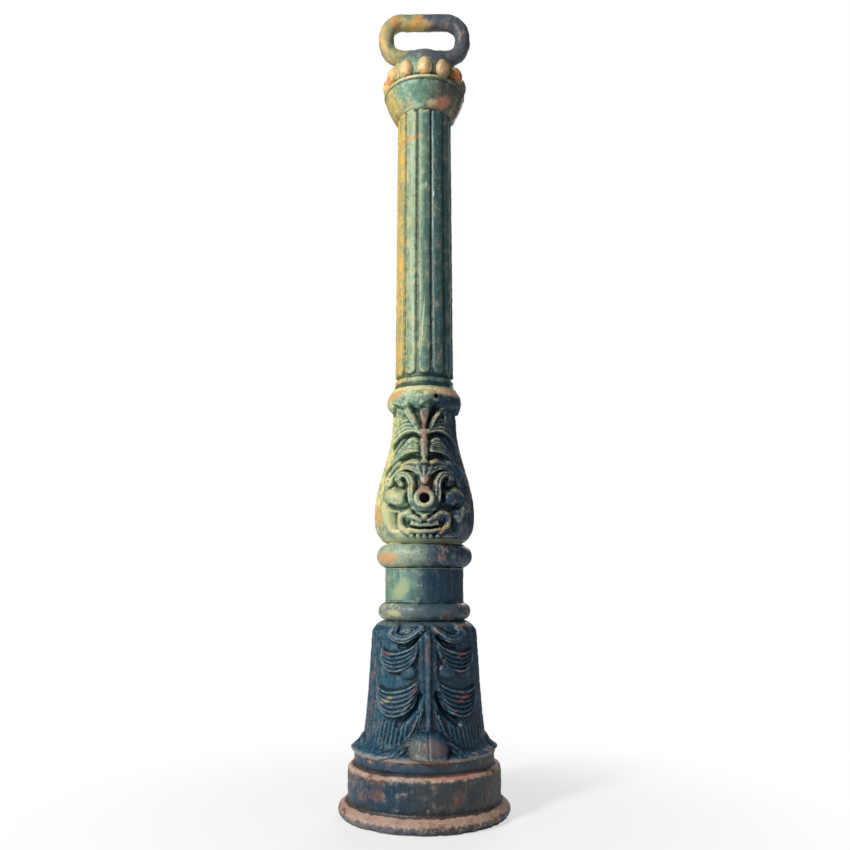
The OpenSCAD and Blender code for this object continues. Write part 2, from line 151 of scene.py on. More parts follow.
def old_paint(name, front, shade, dust, rust, dusty, rusty, topside=0, marks=(), turn=0):
    """Old paint on cast iron, with painted light and shade. front is its colour on the lit left side and
    shade its painted shade on the right, and turn moves the change between them round to the right. dusty
    and rusty say how much dust and rust there is; the dust gathers most on the lit left side, partly as
    painted light, and topside says how much more dust lies on what faces up. Crests are painted lighter, as
    worn paint and as painted highlight, and hollows are darkened as painted shade. Each mark is a ragged
    patch on the front, given by its colour, the two ends of its middle line in x and z, and its half width."""
    look = Finish(name)
    place = look.add("ShaderNodeTexCoord", out="Object")
    split = {"Vector": place}
    x = look.add("ShaderNodeSeparateXYZ", {}, split, 0)
    y = look.add("ShaderNodeSeparateXYZ", {}, split, 1)
    z = look.add("ShaderNodeSeparateXYZ", {}, split, 2)
    normal = look.add("ShaderNodeNewGeometry", out="Normal")
    up = look.add("ShaderNodeSeparateXYZ", {}, {"Vector": normal}, 2)
    proud = look.add("ShaderNodeAttribute", {"attribute_name": "proud"}, out="Fac")
    side = x / (x * x + y * y + 0.00001) ** 0.5

    broad = look.speckle(place, 0.05, 5, 0.62)
    patches = look.speckle(place, 0.014, 5, 0.68)
    grain = look.speckle(place, 0.0028, 4, 0.7)
    runs = look.speckle(look.add("ShaderNodeMapping", {}, {"Vector": place, "Scale": (1, 1, 0.12)}),
                        0.006, 4, 0.65)

    # Painted shade: the colour turns from front to shade towards the right side, where less light falls.
    far = (side * 0.9 + (broad - 0.5) * 1.1).step(turn - 0.55, turn + 0.2)
    paint = look.mix(front, shade, far)
    lighter = look.add("ShaderNodeHueSaturation", {}, {"Value": 1.75, "Saturation": 0.75, "Color": paint})
    darker = look.add("ShaderNodeHueSaturation", {}, {"Value": 0.17, "Saturation": 1.3, "Color": paint})
    colour = look.mix(paint, lighter, (runs * 0.6 + patches * 0.5).step(0.5, 0.72) * 0.5)
    colour = look.mix(colour, darker, (broad * 0.5 + runs * 0.6).step(0.55, 0.38) * 0.55)

    hollow = proud.step(-0.05, -0.85)
    crest = (proud + (grain - 0.5) * 0.8 + (patches - 0.5) * 0.8).step(0.25, 0.95)
    # Crests are painted lighter, partly as worn paler paint and partly as painted highlight, more on the lit
    # left; on the left they also take the dust colour, dust mixed with painted highlight.
    colour = look.mix(colour, lighter, crest * (0.75 - 0.5 * side.step(-0.2, 0.6)))
    colour = look.mix(colour, dust, crest * (0.2 - side).step(-0.3, 0.9) * 0.7 * dusty)
    # Painted shade: hollows are darkened almost to black.
    colour = look.mix(colour, darker, hollow * 0.9)
    # Dust gathers more on the lit left side, where the dust colour is partly painted light.
    lit_side = (side * -1).step(0.35, 1.0)
    weather = patches * 0.9 + grain * 0.7 + runs * 0.5 + lit_side * 0.6 * dusty + up * topside + dusty * 0.15
    dust_and_light_mask = weather.step(1.14, 1.7) * (1 - hollow * 0.85)
    colour = look.mix(colour, dust, dust_and_light_mask * min(1, 0.35 + dusty))
    blotch = (broad + patches * 0.7 + grain * 0.3).step(1.02, 1.2)
    rust_mask = (crest * 0.8 + 0.45) * blotch * (1 - hollow)
    colour = look.mix(colour, rust, (rust_mask * 1.6 * rusty).step(0.05, 1))
    bare = look.mix(dust, tint(205, 212, 190), grain)
    colour = look.mix(colour, bare, (proud + (grain - 0.5) * 2.4 + (broad - 0.5)).step(0.95, 1.6) * 0.35)
    mottle = 0.78 + 0.44 * (grain * 0.6 + patches * 0.4).step(0.34, 0.66)
    colour = look.add("ShaderNodeHueSaturation", {}, {"Value": mottle, "Saturation": 1.12, "Color": colour})

    for (mark, x1, z1, x2, z2, wide) in marks:
        length = math.hypot(x2 - x1, z2 - z1)
        along = ((x - x1) * ((x2 - x1) / length) + (z - z1) * ((z2 - z1) / length))
        across = ((x - x1) * ((z2 - z1) / length) - (z - z1) * ((x2 - x1) / length))
        far_along = (along - length / 2) / (length / 2 + wide)
        off = far_along * far_along + across * across / (wide * wide)
        ragged = off + (patches - 0.5) * 2.4 + (grain - 0.5) * 2
        line = ragged.step(1.3, 0.2) * y.step(0.0, -0.001)
        colour = look.mix(colour, mark, line * (0.5 + grain * 0.5) * (1 - hollow * 0.7))

    roughness = 0.44 + 0.3 * dust_and_light_mask + 0.2 * rust_mask + 0.16 * (patches - 0.5)
    height = grain * 0.5 + patches * 0.9 + dust_and_light_mask * 0.25 + rust_mask * 0.35
    bump = look.add("ShaderNodeBump", {}, {"Strength": 0.45, "Distance": 0.0011, "Height": height})
    look.plug(look.surface.inputs["Base Color"], colour)
    look.plug(look.surface.inputs["Roughness"], roughness)
    look.plug(look.surface.inputs["Normal"], bump)
    return look.material


def lathe(name, outline, sides):
    """Draws an outline of (radius, height) points, in metres, and turns it round the column's axis."""
    bpy.ops.object.select_all(action="DESELECT")
    drawing = bpy.data.meshes.new(name)
    drawing.from_pydata([(radius, 0, height) for radius, height in outline],
                        [(i, i + 1) for i in range(len(outline) - 1)], [])
    piece = bpy.data.objects.new(name, drawing)
    bpy.context.scene.collection.objects.link(piece)
    piece.select_set(True)
    bpy.context.view_layer.objects.active = piece
    turn = piece.modifiers.new("turn", "SCREW")
    turn.steps = turn.render_steps = sides
    turn.use_merge_vertices = True
    turn.merge_threshold = 0.00001
    bpy.ops.object.modifier_apply(modifier="turn")
    return piece


def select_points(piece, chosen):
    """Goes into edit mode with only the chosen points, and what lies between them, selected."""
    bpy.ops.object.select_all(action="DESELECT")
    piece.select_set(True)
    bpy.context.view_layer.objects.active = piece
    bpy.ops.object.mode_set(mode="EDIT")
    bpy.ops.mesh.select_all(action="DESELECT")
    bpy.ops.object.mode_set(mode="OBJECT")
    piece.data.vertices.foreach_set("select", chosen)
    bpy.ops.object.mode_set(mode="EDIT")


def close_up(piece):
    """Fills the open ends, turns all faces outwards and shades the piece smooth."""
    bpy.ops.object.select_all(action="DESELECT")
    piece.select_set(True)
    bpy.context.view_layer.objects.active = piece
    bpy.ops.object.mode_set(mode="EDIT")
    bpy.ops.mesh.select_all(action="SELECT")
    bpy.ops.mesh.remove_doubles(threshold=0.00002)
    bpy.ops.mesh.fill_holes(sides=0)
    bpy.ops.mesh.normals_make_consistent(inside=False)
    bpy.ops.object.mode_set(mode="OBJECT")
    bpy.ops.object.shade_smooth_by_angle(angle=math.radians(38))


def points_of(piece):
    points = np.empty(len(piece.data.vertices) * 3)
    piece.data.vertices.foreach_get("co", points)
    return points.reshape(-1, 3)


def move_points(piece, points):
    piece.data.vertices.foreach_set("co", points.ravel())
    piece.data.update()


def normals_of(piece):
    normals = np.empty(len(piece.data.vertices) * 3)
    piece.data.vertices.foreach_get("normal", normals)
    return normals.reshape(-1, 3)


def weather(piece, depth, size, seed):
    """Uneven cast skin: every point sinks a little, by a noise with lumps of the given size in metres."""
    points = points_of(piece)
    shift = Vector((seed, seed * 0.7, seed * 0.3))
    sink = np.array([noise.fractal(Vector(p) / size + shift, 0.9, 2.1, 4) for p in points])
    move_points(piece, points - normals_of(piece) * (depth * np.clip(0.5 + sink, 0, 1.6))[:, None])


def note_wear(piece, passes=24):
    """Keeps, for the paint, how far each point stands proud of its surroundings, in millimetres."""
    points = points_of(piece)
    ends = np.empty(len(piece.data.edges) * 2, dtype=np.int32)
    piece.data.edges.foreach_get("vertices", ends)
    a, b = ends.reshape(-1, 2).T
    count = np.bincount(a, minlength=len(points)) + np.bincount(b, minlength=len(points))
    mean = points.copy()
    for _ in range(passes):
        total = np.stack([np.bincount(a, mean[b, k], len(points)) + np.bincount(b, mean[a, k], len(points))
                          for k in range(3)], axis=1)
        mean = total / np.maximum(count, 1)[:, None]
    proud = ((points - mean) * normals_of(piece)).sum(axis=1) * 1000
    layer = piece.data.attributes.new("proud", "FLOAT", "POINT")
    layer.data.foreach_set("value", proud)


def declare(piece, finish):
    piece.data.materials.clear()
    piece.data.materials.append(finish)
    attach(piece, "root")
    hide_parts("column")


def arc(centre_r, centre_z, radius, start, end, steps):
    """Points of a round stretch of an outline, from angle start to end in degrees."""
    turns = [math.radians(start + (end - start) * i / steps) for i in range(steps + 1)]
    return [(centre_r + radius * math.cos(t), centre_z + radius * math.sin(t)) for t in turns]


def run(*points, step=0.0022):
    """An outline through the points, with a ring about every step along it."""
    line = [points[0]]
    for (r1, z1), (r2, z2) in zip(points, points[1:]):
        parts = max(1, round(math.hypot(r2 - r1, z2 - z1) / step))
        line += [(r1 + (r2 - r1) * i / parts, z1 + (z2 - z1) * i / parts) for i in range(1, parts + 1)]
    return line


def unit(v):
    return np.clip(v, 0, 1)


def ease(v):
    t = unit(v)
    return t * t * (3 - 2 * t)


def roll(d):
    """Round top of a ridge, 1 on its line and 0 at its edge."""
    return np.sqrt(unit(1 - d * d))


def soft(d):
    t = unit(np.abs(d))
    return (1 - t * t) ** 2


def bulge(x, y):
    return unit(1 - x * x - y * y) ** 0.7


FLANGE_R = 0.1195
RING_R, RING_TOP = 0.106, 0.066
BAND_R, BAND_FOOT = 0.0965, 0.0722
BELL_Z = 0.087
FOOT_HOLLOW_R, BAND_HOLLOW_R = 0.096, 0.086
SLIT_TURN, SLIT_Z, SLIT_DEPTH = -31, 0.0718, 0.022

foot_outline = run((FOOT_HOLLOW_R, 0.0004), (0.0965, 0.0002), (FLANGE_R - 0.004, 0.0002),
                   *arc(FLANGE_R - 0.0085, 0.0085, 0.0083, -55, 50, 8),
                   (RING_R + 0.005, 0.0195), (RING_R + 0.0015, 0.0215), (RING_R + 0.0002, 0.0235),
                   (RING_R - 0.0005, RING_TOP - 0.001), (RING_R - 0.0014, RING_TOP + 0.001),
                   (RING_R - 0.003, RING_TOP + 0.0035), (BAND_R + 0.0016, BAND_FOOT - 0.0014),
                   (BAND_R + 0.0002, BAND_FOOT), (BAND_R, BELL_Z + 0.002), (BAND_HOLLOW_R, BELL_Z + 0.002),
                   (BAND_HOLLOW_R, RING_TOP), (FOOT_HOLLOW_R, 0.022), (FOOT_HOLLOW_R, 0.0004))
foot = lathe("foot_ring", foot_outline, sides=320)
close_up(foot)

points = points_of(foot)
turned = np.degrees(np.arctan2(points[:, 0], -points[:, 1]))
outside = np.hypot(points[:, 0], points[:, 1]) > 0.095
at_slit = soft((turned - SLIT_TURN) / 7) * soft((points[:, 2] - SLIT_Z) / 0.0016) * outside
points[:, :2] *= (1 - SLIT_DEPTH * at_slit)[:, None]
move_points(foot, points)
weather(foot, depth=0.0009, size=0.012, seed=3)
weather(foot, depth=0.0005, size=0.004, seed=5)
note_wear(foot, passes=10)

blue_band, pink_edge, slit_shade = tint(34, 68, 92), tint(196, 128, 118), tint(14, 20, 26)
foot_marks = [(blue_band, -0.080, 0.0790, 0.080, 0.0790, 0.0065),
              (pink_edge, 0.005, 0.0688, 0.078, 0.0695, 0.0026),
              # The slit mark is painted shade inside the slit.
              (slit_shade, -0.058, 0.0708, -0.043, 0.0708, 0.0026)]
declare(foot, old_paint("foot_paint", front=tint(26, 58, 78), shade=tint(54, 60, 64),
                        dust=tint(222, 186, 166), rust=tint(116, 82, 70),
                        dusty=0.22, rusty=0.7, topside=0.85, marks=foot_marks))


# Leafy bell
# The swelling bell of the casting over the foot: two big leaves, each with a raised midrib, a flap and
# two rolled lobes of nested ribs on either side, and a turned-over tip at the foot. Cast with the rest.
# Its shape is worked out in millimetres; a is the angle from the leaf's midrib, q the share of the height.
BELL_H = 0.178
BELL_LOW_R, BELL_HIGH_R, BELL_LIP_R = 81, 70, 98.5
SHOULDER_H, WAIST_R = 17, 54
LEAF_TURN, LEAF_RELIEF = 3.5, 5.2
BELL_HOLLOW_LOW_R, BELL_HOLLOW_TOP_R = 0.0845, 0.042


def smooth_path(points, parts=4):
    """A curved path through the points."""
    line = [np.array(points[0], float)]
    ends = [points[0]] + list(points) + [points[-1]]
    for p0, p1, p2, p3 in zip(ends, ends[1:], ends[2:], ends[3:]):
        p0, p1, p2, p3 = (np.array(p, float) for p in (p0, p1, p2, p3))
        for i in range(1, parts + 1):
            t = i / parts
            line.append(0.5 * (2 * p1 + (p2 - p0) * t + (2 * p0 - 5 * p1 + 4 * p2 - p3) * t * t
                               + (3 * p1 - p0 - 3 * p2 + p3) * t ** 3))
    return line


def off_path(x, y, points, wide_start, wide_end=None):
    """Distance from a curved path, as a share of its half width there. Far from the path it is 9."""
    line = np.array(smooth_path(points))
    wide_end = wide_start if wide_end is None else wide_end
    reach = max(wide_start, wide_end)
    low, high = line.min(axis=0) - reach, line.max(axis=0) + reach
    near = np.flatnonzero((x > low[0]) & (x < high[0]) & (y > low[1]) & (y < high[1]))
    px, py = x[near], y[near]
    nearest = np.full(px.shape, 9.0)
    for i, (start, end) in enumerate(zip(line, line[1:])):
        along = end - start
        t = unit(((px - start[0]) * along[0] + (py - start[1]) * along[1]) / max(1e-9, along @ along))
        wide = wide_start + (wide_end - wide_start) * (i + t) / (len(line) - 1)
        gap = np.hypot(px - start[0] - t * along[0], py - start[1] - t * along[1])
        nearest = np.minimum(nearest, gap / wide)
    off = np.full(x.shape, 9.0)
    off[near] = nearest
    return off


def bell_ground(q):
    """Radius of the plain bell under its leaves."""
    z = q * BELL_H * 1000
    side = BELL_LOW_R + (BELL_HIGH_R - BELL_LOW_R) * q
    flare = (BELL_LIP_R - BELL_LOW_R) / (1 + (np.maximum(z - 6, 0) / 8) ** 1.3)
    over = unit((z - BELL_H * 1000 + SHOULDER_H) / SHOULDER_H)
    return side + flare - (BELL_HIGH_R - WAIST_R) * (1 - np.sqrt(1 - over * over * 0.96))


def rolled_lobe(a, q, first, last, inner, outer, sag, depth, ribs):
    """A bowl-shaped lobe of nested ribs that stand further out towards its lower edge."""
    along = unit((a - first) / (last - first))
    s = 2 * along ** 0.85 - 1
    bowl = np.maximum(0.3, unit(1 - np.abs(s) ** 2.4) ** 0.6)
    line = inner + (outer - inner) * along
    upper, lower = line - sag * bowl, line - depth * bowl
    t = (upper - q) / (upper - lower)
    fade = ease((a - first) / 5) * ease((last - a) / 4)
    ridge = np.abs(np.sin(np.pi * ribs * t)) ** 0.7
    ledge = 1 - ease((t - 0.9) / 0.1) * 0.55
    return np.where((t > 0) & (t < 1), fade * (0.3 + 0.55 * t + 0.55 * ridge) * ledge, 0)


def big_leaf(a, q):
    """Relief of half a leaf, from its midrib outwards."""
    x = a * BELL_LOW_R * math.pi / 180
    z = q * BELL_H * 1000
    strap = 0.6 * roll(x / 14) ** 0.5 * ease((q - 0.15) / 0.08) * ease((0.99 - q) / 0.06)
    rib = 1.3 * roll(x / (4.6 + 1.6 * q)) ** 0.8 * ease((q - 0.13) / 0.1) * ease((0.98 - q) / 0.1)
    hook = off_path(x, z, [(9, 170), (20, 162), (33, 156), (46, 157), (55, 163), (52, 169)], 5.5, 7.5)
    flap = 1.5 * roll(hook) ** 0.8 - 0.3 * soft((hook - 0.45) * 4)
    under = 0.75 * soft(off_path(x, z, [(14, 160), (28, 148), (42, 146)], 4.5, 6))
    high = rolled_lobe(a, q, 7, 56, 0.93, 0.84, 0.10, 0.26, 5)
    low = rolled_lobe(a, q, 6, 58, 0.65, 0.56, 0.10, 0.31, 6)
    bud = 1.1 * bulge((a - 20) / 9, (q - 0.64) / 0.06)
    bulb_lines = 1 - 0.04 * np.abs(np.sin(np.radians(180 * a / 7)))
    bulb = 3.5 * bulge(a / 19, (q - 0.115) / 0.115) * bulb_lines
    bulb = bulb - 0.3 * soft(x / 1.6) * (bulb > 0.5)
    sprig = sum(0.85 * roll(off_path(x, z, [(s, 26 + 3 * i), (s + 10, 17 + 2 * i), (s + 22, 8)], 3.0, 2.0))
                for i, s in enumerate((25, 19, 13)))
    spray_lines = [[(7 + 3.6 * i, 66 - 4 * i), (11 + 4.8 * i, 48 - 4 * i), (17 + 6.4 * i, 32 - 3 * i)]
                   for i in range(3)]
    spray = sum(0.8 * roll(off_path(x, z, line, 3.0, 2.0)) for line in spray_lines)
    fan_lines = np.abs(np.sin(np.radians(180 * (a - 14 + (q - 0.2) * 14) / 4.6))) ** 0.8
    fan = 0.42 * ease((a - 16) / 6) * ease((58 - a) / 5) * ease((0.33 - q) / 0.1) * ease((q - 0.07) / 0.06)
    fan = fan * fan_lines
    groove = soft(off_path(x, z, [(13, 84), (24, 62), (42, 46)], 8, 7)) * 1.1
    edge = 0.7 * roll(off_path(x, z, [(13, 44), (26, 26), (40, 12), (56, 5)], 4.5, 4.5))
    shapes = [strap, rib, flap, high, low, bud, fan, sprig, spray, bulb, edge]
    return np.maximum.reduce(shapes) - (groove + under) * (bulb < 0.2)


def flank(a, q):
    """Relief between the two leaves: upright flutes, and a curled leaf tip at the foot."""
    lines = np.abs(np.sin(np.radians(180 * (a - 57) / 6.6))) ** 0.8
    flutes = 0.36 * ease((a - 53) / 5) * lines * ease((0.97 - q) / 0.06) * ease((q - 0.1) / 0.1)
    curl = 0.9 * roll(np.hypot((90 - a) / 17, (q - 0.07) / 0.07))
    curl = curl - 0.8 * soft(np.hypot((90 - a) / 9, (q - 0.075) / 0.035))
    return flutes + curl


def bell_radius(theta, q):
    turn = np.abs((theta - LEAF_TURN + 180) % 360 - 180)
    a = np.where(turn > 90, 180 - turn, turn)
    return bell_ground(q) - 1 + LEAF_RELIEF * (big_leaf(a, q) + flank(a, q))


def tube(name, base_z, height, sides, rings):
    """A plain upright tube with many rings, ready to be carved."""
    return lathe(name, [(0.06, base_z + height * i / rings) for i in range(rings + 1)], sides)


def line_inside(piece, low_r, high_r):
    """Gives an open tube its inner wall: both open rims are drawn in and joined."""
    levels = points_of(piece)[:, 2]
    for level, radius in ((levels.min(), low_r), (levels.max(), high_r)):
        points = points_of(piece)
        rim = np.abs(points[:, 2] - level) < 1e-6
        size = np.hypot(points[rim, 0], points[rim, 1]).mean()
        select_points(piece, rim)
        bpy.ops.mesh.extrude_region_move()
        bpy.ops.transform.resize(value=(radius / size, radius / size, 1), center_override=(0, 0, level))
        bpy.ops.object.mode_set(mode="OBJECT")
    points = points_of(piece)
    inner = np.zeros(len(points), bool)
    inner[len(levels):] = True
    select_points(piece, inner)
    bpy.ops.mesh.bridge_edge_loops()
    bpy.ops.object.mode_set(mode="OBJECT")


def carve(piece, radius_at, base_z, height):
    """Moves each point of a tube out to the radius that the carving has at its angle and height."""
    points = points_of(piece)
    theta = np.degrees(np.arctan2(points[:, 0], -points[:, 1]))
    radius = radius_at(theta, (points[:, 2] - base_z) / height) / 1000
    points[:, 0] = radius * np.sin(np.radians(theta))
    points[:, 1] = -radius * np.cos(np.radians(theta))
    move_points(piece, points)


bell = tube("leafy_bell", BELL_Z, BELL_H, sides=500, rings=190)
carve(bell, bell_radius, BELL_Z, BELL_H)
line_inside(bell, BELL_HOLLOW_LOW_R, BELL_HOLLOW_TOP_R)
close_up(bell)
weather(bell, depth=0.0006, size=0.006, seed=11)
note_wear(bell, passes=16)

shoulder_shadow, pink_lip, cream = tint(28, 58, 76), tint(150, 120, 112), tint(168, 156, 124)
red, olive, mauve, wine = tint(138, 78, 78), tint(96, 98, 90), tint(110, 92, 94), tint(112, 72, 78)
# The shoulder mark is a painted shadow under the lower ring.
bell_marks = [(shoulder_shadow, -0.062, 0.2655, 0.062, 0.2655, 0.0080),
              (pink_lip, -0.090, 0.0890, 0.090, 0.0890, 0.0028),
              (red, 0.044, 0.220, 0.056, 0.226, 0.0026),
              (red, 0.046, 0.162, 0.058, 0.170, 0.0032),
              (cream, -0.056, 0.160, -0.044, 0.166, 0.0034),
              (red, -0.054, 0.222, -0.046, 0.224, 0.0026),
              (olive, -0.014, 0.104, 0.002, 0.106, 0.0150),
              (mauve, 0.008, 0.108, 0.018, 0.104, 0.0120),
              (wine, 0.004, 0.222, 0.006, 0.242, 0.0026)]
declare(bell, old_paint("bell_paint", front=tint(32, 74, 96), shade=tint(26, 59, 80),
                        dust=tint(124, 126, 114), rust=tint(128, 84, 82),
                        dusty=0.26, rusty=0.5, marks=bell_marks))


# Rings and drum
# The short waist of the casting: a thick round ring, a plain drum and a thicker round ring that carries
# the vase. Turned patterns cast with the rest; the upper ring is dusted ochre on its lit left side, partly
# as painted light, and the right side of the piece is painted shade.
DRUM_R, DRUM_HOLLOW_R = 0.054, 0.044
LOW_RING_Z, LOW_RING_H, LOW_RING_R = 0.265, 0.025, 0.0635
HIGH_RING_Z, HIGH_RING_H, HIGH_RING_R = 0.336, 0.033, 0.0655
DRUM_FOOT = LOW_RING_Z - 0.002


def round_ring(ring_r, ring_z, ring_h, steps):
    """Outline of the half round of a ring."""
    return arc(ring_r - ring_h / 2, ring_z + ring_h / 2, ring_h / 2, -84, 84, steps)


drum_outline = run((DRUM_HOLLOW_R, DRUM_FOOT), (DRUM_R - 0.001, DRUM_FOOT), (DRUM_R, LOW_RING_Z + 0.0004),
                   *round_ring(LOW_RING_R, LOW_RING_Z, LOW_RING_H, 20),
                   (DRUM_R + 0.0012, LOW_RING_Z + LOW_RING_H + 0.0002),
                   (DRUM_R, LOW_RING_Z + LOW_RING_H + 0.0018),
                   (DRUM_R, HIGH_RING_Z - 0.0016), (DRUM_R + 0.0012, HIGH_RING_Z),
                   *round_ring(HIGH_RING_R, HIGH_RING_Z, HIGH_RING_H, 24),
                   (0.050, HIGH_RING_Z + HIGH_RING_H), (DRUM_HOLLOW_R, HIGH_RING_Z + HIGH_RING_H),
                   (DRUM_HOLLOW_R, DRUM_FOOT))
drum = lathe("rings_and_drum", drum_outline, sides=256)
close_up(drum)
weather(drum, depth=0.0006, size=0.010, seed=17)
note_wear(drum, passes=14)

low_ring_shade, orange, ring_light_patch, drum_light_patch = tint(62, 84, 98), tint(214, 154, 98), tint(196, 192, 146), tint(170, 180, 140)
# The mark along the lower ring is painted shade, the straw and sage patches on the lower ring and the drum
# are painted light, and the orange patch on the upper ring is ochre partly painted light.
drum_marks = [(low_ring_shade, -0.056, 0.2775, 0.060, 0.2775, 0.014),
              (orange, -0.060, 0.350, -0.040, 0.349, 0.008),
              (ring_light_patch, -0.046, 0.277, -0.034, 0.275, 0.005),
              (drum_light_patch, -0.036, 0.300, -0.026, 0.316, 0.010)]
declare(drum, old_paint("drum_paint", front=tint(104, 140, 128), shade=tint(20, 52, 74),
                        dust=tint(206, 178, 122), rust=tint(186, 122, 88),
                        dusty=0.3, rusty=0.22, topside=-0.05, marks=drum_marks))


# Vase
# The pear-shaped vase of the casting: a grotesque mask of leaves with a spout hole in its nose, a leaf
# that hangs over it from the rolled collar, and fine upright strands round the sides and back.
# Its shape is worked out in millimetres; h is the height on the vase.
VASE_Z, VASE_H = 0.3685, 0.2105
BELLY_R, BELLY_H, NECK_R, FOOT_R = 67.5, 37, 42.5, 52
NECK_H, COLLAR_FOOT, COLLAR_MID, COLLAR_TOP, COLLAR_R = 168, 171, 197, 210, 50
SPOUT_H, SPOUT_Z, SPOUT_R = 57, 0.426, 0.007
CARVING_DEPTH = 1.15
VASE_HOLLOW_LOW_R, VASE_HOLLOW_TOP_R = 0.042, 0.0325


def vase_ground(h):
    """Radius of the plain vase and its rolled collar."""
    low = np.sqrt(unit(1 - ((BELLY_H - h) / (BELLY_H * 0.93)) ** 2))
    high = (1 + np.cos(np.pi * unit((h - BELLY_H) / (NECK_H - BELLY_H)))) / 2
    body = np.where(h < BELLY_H, FOOT_R + (BELLY_R - FOOT_R) * low, NECK_R + (BELLY_R - NECK_R) * high)
    swell = ease((h - COLLAR_FOOT) / (COLLAR_MID - COLLAR_FOOT)) * ease((COLLAR_TOP + 5 - h) / 16)
    return np.maximum(body, np.where(h > COLLAR_FOOT, NECK_R + (COLLAR_R - NECK_R) * swell, 0))


def mask(x, y):
    """Heights of the mask in millimetres. x is the distance from the middle, y from the spout hole."""
    def line(points, wide, end=None, sharp=0.8):
        return roll(off_path(x, y, points, wide, end)) ** sharp

    def dip(points, wide, end=None):
        return soft(off_path(x, y, points, wide, end))
    limb = off_path(x, y, [(33, 21), (35, 27), (30, 33), (23, 32), (18, 26), (16.5, 16), (17, 4), (14, -8),
                           (7, -15), (0, -17)], 4.4, 6.0)
    crest = off_path(x, y, [(1, 24), (7, 34), (14, 40), (24, 42), (34, 38), (43, 29), (48, 20)], 4.4, 3.6)
    brow = off_path(x, y, [(3, 44), (14, 50), (26, 49), (38, 43), (50, 31)], 7.5, 6)
    parts = [
        5.6 * roll(brow) ** 0.8 - 0.9 * soft((brow - 0.5) * 3),
        6.4 * roll(crest) ** 0.8 - 1.0 * soft(crest * 2.6),
        7.2 * roll(limb) ** 0.7 - 1.6 * soft(limb * 2.4),
        6.6 * line([(0, 25), (5, 33), (8, 42)], 3.6, 4.0),
        6.8 * line([(0, 22), (0, 34), (0, 44)], 3.4, 4.4),
        7.6 * bulge(x / 9, (y - 47) / 7),
        10.0 * bulge(x / 14.5, (y - 1) / 17),
        11.2 * roll(np.abs(np.hypot(x, y * 0.97) - 9.6) / 4.4) ** 0.9,
        7.4 * unit(1 - ((x - 43) / 19) ** 2 - ((y - 3) / 15) ** 2),
        6.0 * bulge(x / 6.4, (y + 23) / 9),
        5.6 * line([(25, -20), (15, -23.5), (5, -29)], 5.6, 3.2),
        4.6 * line([(22, -28), (13, -30.5), (4, -33)], 3.0, 2.2),
        6.4 * line([(20, -18), (28, -20), (32, -28), (29, -37), (20, -44)], 6.0, 4.2),
        5.0 * line([(0, -34), (8, -34), (16, -32.5)], 3.2, 2.4),
        5.6 * line([(0, -42.5), (8, -42.5), (19, -40)], 4.4, 3.2),
        5.6 * bulge((np.abs(x - 12) - 4.4) / 4.6, (y + 48.5) / 5),
        5.6 * bulge(x / 4.6, (y + 49) / 5),
        6.6 * dip([(56, -10), (52, -28), (42, -40), (28, -50)], 17, 13),
    ]
    hollows = [
        6.0 * bulge((x - 31) / 12, (y - 17) / 9),
        5.0 * dip([(19, -9), (28, -13), (38, -12), (46, -9)], 8, 6),
        4.0 * dip([(26, 22), (24.5, 10), (23, -4)], 5),
        3.6 * dip([(40, -20), (38, -36)], 8),
        3.4 * bulge((x - 20.5) / 4.2, (y + 29.5) / 3),
        3.6 * dip([(0, -38.2), (9, -38.2), (17, -36.4)], 2.2),
        3.0 * dip([(0, -18.5), (9, -17.5), (21, -14)], 3.2),
        3.0 * dip([(8, 30), (9, 18), (10, 14)], 5),
    ]
    return np.maximum.reduce(parts + [np.zeros_like(x)]) - np.maximum.reduce(hollows)


def drooping_lobe(x, z, first, last, top, foot, ribs):
    """A lobe of the leaf, with ribs that rise from the stem and droop towards its hollow outer end."""
    along = unit((x - first) / (last - first))
    upper = (1 - along) ** 2 * top[0] + 2 * along * (1 - along) * top[1] + along ** 2 * top[2]
    lower = (1 - along) ** 2 * foot[0] + 2 * along * (1 - along) * foot[1] + along ** 2 * foot[2]
    t = (upper - z) / (upper - lower)
    fade = ease((x - first + 1) / 9) * ease((last - x) / 9)
    ridge = np.abs(np.sin(np.pi * ribs * t)) ** 0.8
    high = fade * (1.2 + 3.6 * t ** 0.8 + 1.5 * ridge) * roll(unit(t - 0.9) * 9)
    return np.where((t > 0) & (t < 1), high, 0)


def hanging_leaf(x, h, right):
    """Heights of the leaf over the mask. x is the distance from the middle, h the height on the vase."""
    def line(points, wide, end=None):
        return roll(off_path(x, h, points, wide, end)) ** 0.8

    def dip(points, wide, end=None):
        return soft(off_path(x, h, points, wide, end))
    branch = off_path(x, h, [(4, 147), (8, 154), (14, 164), (21, 176), (28, 190)], 6.2, 4.6)
    arch = off_path(x, h, [(4, 147), (9, 158), (15, 169), (22, 177), (28, 173), (30, 163)], 4.6, 3.4)
    parts = [
        6.2 * line([(0, 100), (0, 128), (0, 150)], 4.6, 6.0),
        5.6 * line([(0, 148), (0, 166), (0, 186)], 3.4, 7.5),
        np.where(right, 5.8 * roll(arch) ** 0.8, 6.4 * roll(branch) ** 0.8 - 1.2 * soft(branch * 2.4)),
        drooping_lobe(x, h, 3, 52, (150, 190, 138), (144, 156, 120), 4),
        drooping_lobe(x, h, 3, 58, (126, 154, 98), (119, 126, 82), 5),
        2.8 * bulge((x - 20) / 12, (h - 136) / 8),
    ]
    hollows = [
        5.0 * dip([(4, 154), (9, 168), (17, 184)], 4.6, 7),
        5.0 * dip([(7, 141), (20, 144), (36, 128), (47, 116)], 5.5, 4.5),
        5.0 * dip([(6, 112), (20, 114), (36, 101), (50, 86)], 5.5, 4.5),
        3.0 * dip([(32, 172), (38, 160), (46, 148)], 7, 5),
    ]
    return np.maximum.reduce(parts + [np.zeros_like(x)]) - np.maximum.reduce(hollows)


